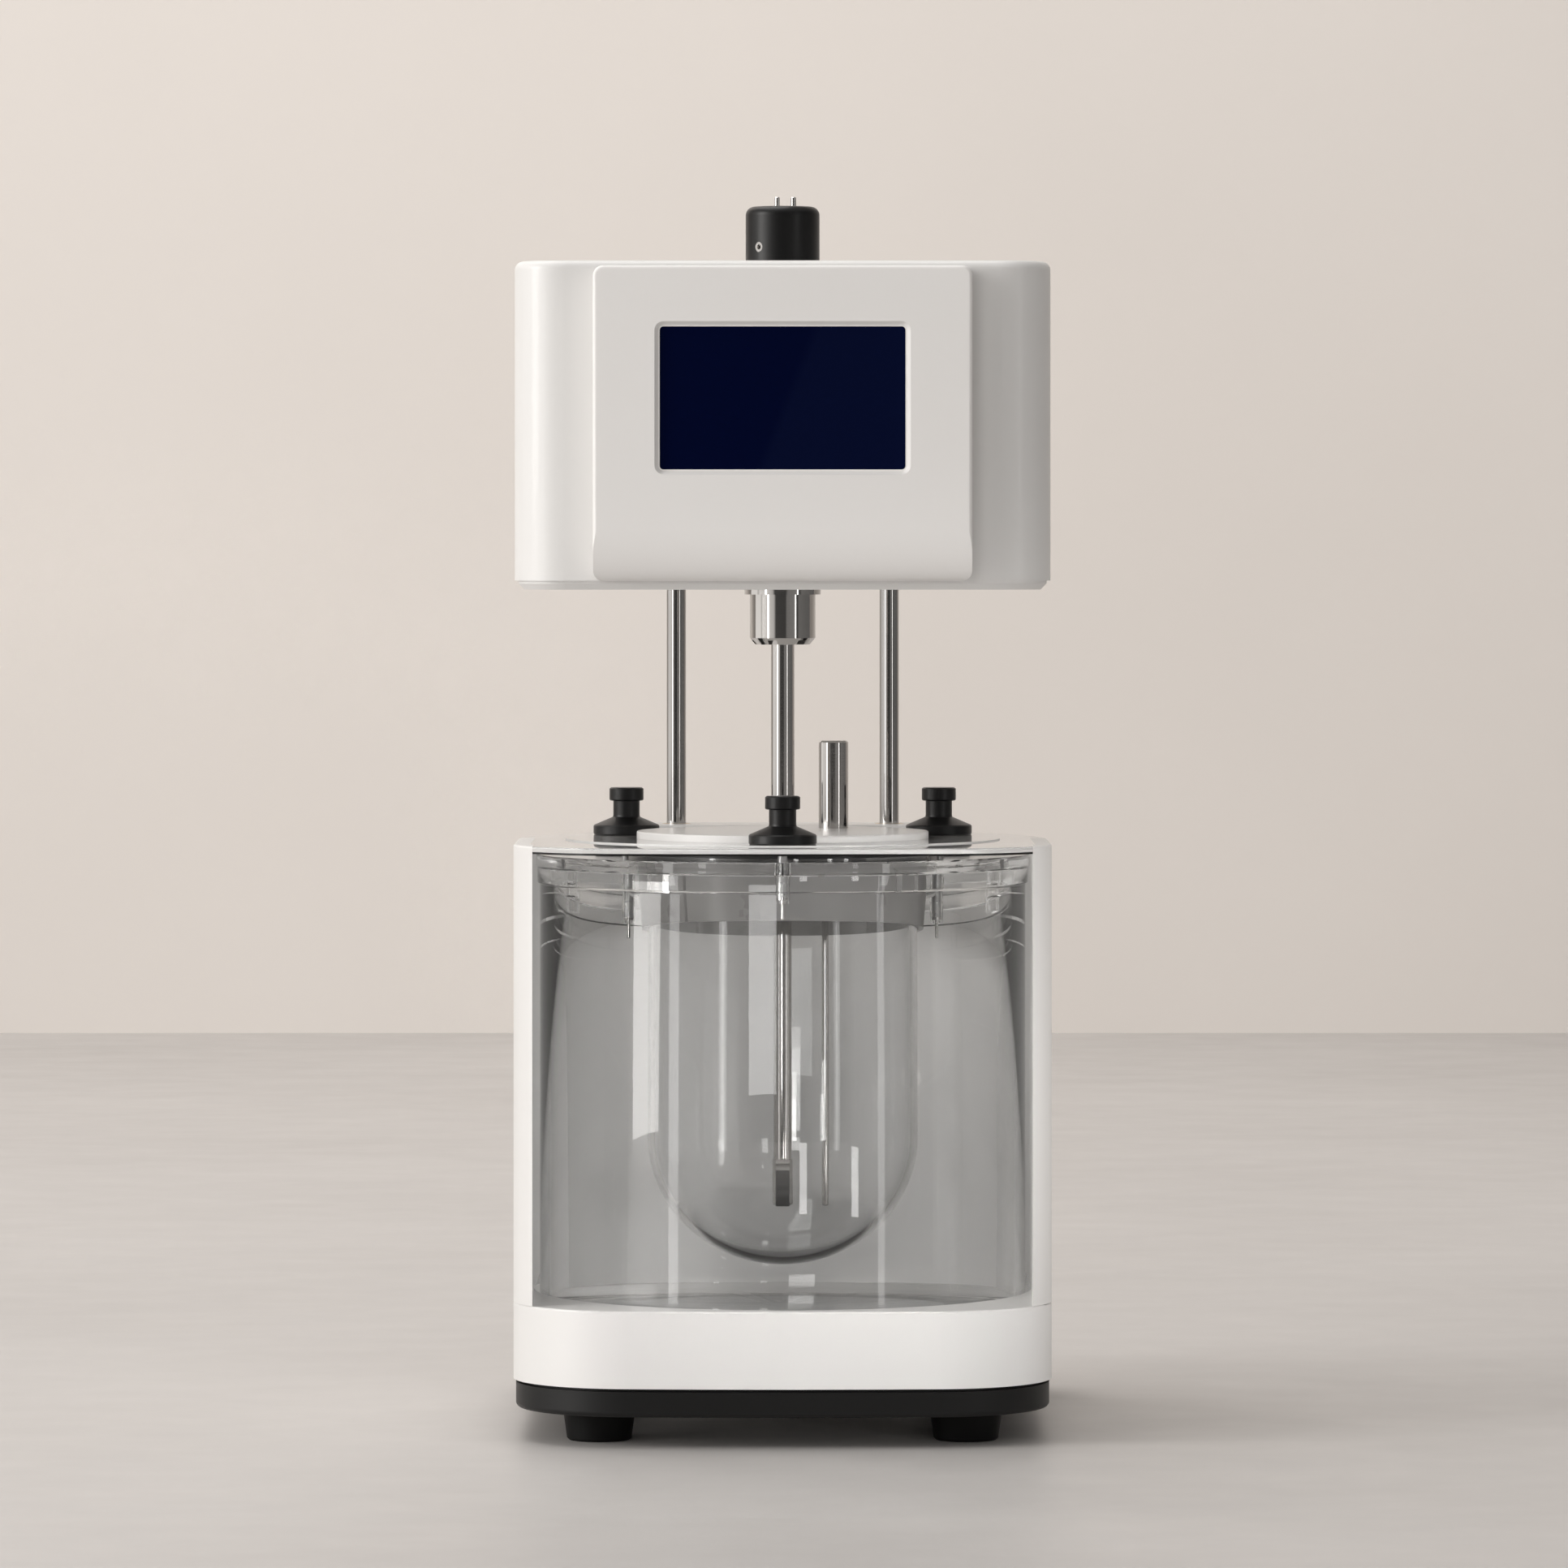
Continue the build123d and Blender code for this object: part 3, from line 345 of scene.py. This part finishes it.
# water-bath jar: rounded foot, thicker rim band
jar_profile = ([(0.0, 44.0), (94.6, 44.0)] + arc(94.8, 46.4, 2.4, -80, 0, 8) + [(97.2, 215.4), (97.5, 215.9), (98.0, 216.2),
               (98.2, 216.7), (98.2, 222.2), (97.9, 222.6), (93.4, 222.6), (93.0, 222.2), (93.0, 52.0)]
               + arc(90.0, 52.0, 3.0, 0, -90, 8) + [(0.0, 49.0)])
jar = lathe("bath_jar_clear", [(r * mm, z * mm) for r, z in jar_profile], steps=256)
finish_piece(jar, "base", "bath_jar", "clear_plastic")

# ---------------------------------------------------------------- stage
def plane(name, size, loc, rot=(0, 0, 0)):
    me = bpy.data.meshes.new(name)
    s = size / 2
    me.from_pydata([(-s, -s, 0), (s, -s, 0), (s, s, 0), (-s, s, 0)], [], [(0, 1, 2, 3)])
    ob = bpy.data.objects.new(name, me)
    ob.location, ob.rotation_euler = loc, rot
    bpy.context.scene.collection.objects.link(ob)
    return ob


floor = plane("floor", 14.0, (0, 0, 0))
fm, nt, p = tree("floor_stone")
v = coords(nt)
nt.links.new(ramp(nt, noise(nt, v, 3.0, 6.0, 0.6), [(0.3, (0.50, 0.48, 0.465)), (0.7, (0.55, 0.53, 0.515))]), p.inputs["Base Color"])
nt.links.new(remap(nt, noise(nt, v, 20.0, 5.0), 0.36, 0.5), p.inputs["Roughness"])
floor.data.materials.append(fm)

wall = plane("wall", 14.0, (0, 2.6, 3.0), (math.radians(90), 0, 0))
wm, nt, p = tree("wall_plaster")
nt.links.new(ramp(nt, noise(nt, coords(nt), 2.0, 4.0), [(0.3, (0.80, 0.755, 0.715)), (0.7, (0.83, 0.785, 0.745))]), p.inputs["Base Color"])
p.inputs["Roughness"].default_value = 0.8
# one-sided, so that it does not hide the object from behind
side = new(nt, "ShaderNodeNewGeometry")
gone = new(nt, "ShaderNodeBsdfTransparent")
mix = new(nt, "ShaderNodeMixShader")
nt.links.new(side.outputs["Backfacing"], mix.inputs[0])
nt.links.new(p.outputs["BSDF"], mix.inputs[1])
nt.links.new(gone.outputs["BSDF"], mix.inputs[2])
nt.links.new(mix.outputs["Shader"], nt.nodes["Material Output"].inputs["Surface"])
wall.data.materials.append(wm)

# studio surround: bright screens to the left, darker ones to the right, with narrow gaps between them
world = bpy.data.worlds.new("world")
bpy.context.scene.world = world
world.use_nodes = True
nt = world.node_tree
bg = nt.nodes["Background"]
tc = new(nt, "ShaderNodeTexCoord")
sep = new(nt, "ShaderNodeSeparateXYZ")
nt.links.new(tc.outputs["Generated"], sep.inputs["Vector"])
flip = new(nt, "ShaderNodeMath", operation="MULTIPLY")
flip.inputs[1].default_value = -1.0
nt.links.new(sep.outputs["Y"], flip.inputs[0])
around = new(nt, "ShaderNodeMath", operation="ARCTAN2")
nt.links.new(sep.outputs["X"], around.inputs[0])
nt.links.new(flip.outputs[0], around.inputs[1])
turn = new(nt, "ShaderNodeMapRange")
turn.inputs["From Min"].default_value = -math.pi
turn.inputs["From Max"].default_value = math.pi
nt.links.new(around.outputs[0], turn.inputs["Value"])
SURROUND = [(-180, 0.30), (-140, 0.35), (-128, 1.05), (-84, 1.05), (-80, 0.60), (-74, 1.00), (-44, 0.80), (-31, 0.62), (-24, 0.07),
            (10, 0.06), (15, 0.22), (44, 0.26), (48, 0.06), (54, 0.06), (59, 0.19), (98, 0.15), (112, 0.15), (180, 0.24)]
warm = (1.0, 0.965, 0.93)
sky = ramp(nt, turn.outputs["Result"], [((a + 180) / 360, tuple(v * w for w in warm)) for a, v in SURROUND])
up = new(nt, "ShaderNodeMapRange")
up.inputs["From Min"].default_value = 0.45
up.inputs["From Max"].default_value = 0.85
nt.links.new(sep.outputs["Z"], up.inputs["Value"])
over = new(nt, "ShaderNodeMix", data_type="RGBA")
nt.links.new(up.outputs["Result"], over.inputs["Factor"])
nt.links.new(sky, over.inputs["A"])
over.inputs["B"].default_value = (0.60, 0.585, 0.57, 1)
nt.links.new(over.outputs["Result"], bg.inputs["Color"])
bg.inputs["Strength"].default_value = 1.0


def area(name, loc, target, size, size_y, power, colour=(1, 1, 1)):
    ld = bpy.data.lights.new(name, "AREA")
    ld.shape = "RECTANGLE"
    ld.size, ld.size_y, ld.energy, ld.color = size, size_y, power, colour
    ob = bpy.data.objects.new(name, ld)
    ob.location = loc
    d = Vector(target) - Vector(loc)
    ob.rotation_euler = d.to_track_quat("-Z", "Y").to_euler()
    bpy.context.scene.collection.objects.link(ob)
    return ob


area("key", (-2.9, -1.05, 1.15), (0, 0, 0.28), 1.0, 1.6, 40, (1.0, 0.98, 0.955))
front = area("front", (-0.5, -3.0, 0.75), (0, 0, 0.25), 0.7, 0.7, 10.5, (1.0, 0.985, 0.97))
area("top", (-0.5, 0.1, 2.4), (0, 0, 0.2), 1.3, 1.3, 12)
area("wash", (-0.8, 1.2, 2.6), (-0.2, 2.6, 0.9), 2.4, 0.5, 34, (1.0, 0.97, 0.94))
# narrow beams into the bay, and two tall strips that draw highlights down the clear walls
bay_right = area("bay_right", (1.5, -2.2, 0.20), (-0.015, 0.03, 0.135), 0.16, 0.14, 0.085, (1.0, 0.985, 0.97))
bay_mid = area("bay_mid", (0.45, -2.65, 0.20), (-0.015, 0.03, 0.135), 0.16, 0.14, 0.048, (1.0, 0.985, 0.97))
for lamp in (bay_right, bay_mid):
    lamp.data.spread = math.radians(9.0)
for lamp in (front, bay_right, bay_mid):
    lamp.visible_glossy = False
area("strip_left", (-0.62, -0.52, 0.36), (0, -0.05, 0.30), 0.07, 0.9, 0.9, (1.0, 0.99, 0.98))
area("strip_right", (0.60, -0.60, 0.36), (0, -0.05, 0.30), 0.05, 0.9, 0.5, (1.0, 0.99, 0.98))

# light reaches what stands behind several clear walls
cycles = bpy.context.scene.cycles
cycles.max_bounces = 28
cycles.transmission_bounces = 28
cycles.glossy_bounces = 12
cycles.diffuse_bounces = 5
cycles.transparent_max_bounces = 32
for ob in (vessel, jar, frame["nodes"]["bath_lid"], frame["nodes"]["deck_plate"], frame["nodes"]["plunger_sleeves"],
           frame["nodes"]["vessel_ring"]):
    ob.visible_shadow = False

bpy.context.scene.view_settings.view_transform = "Standard"
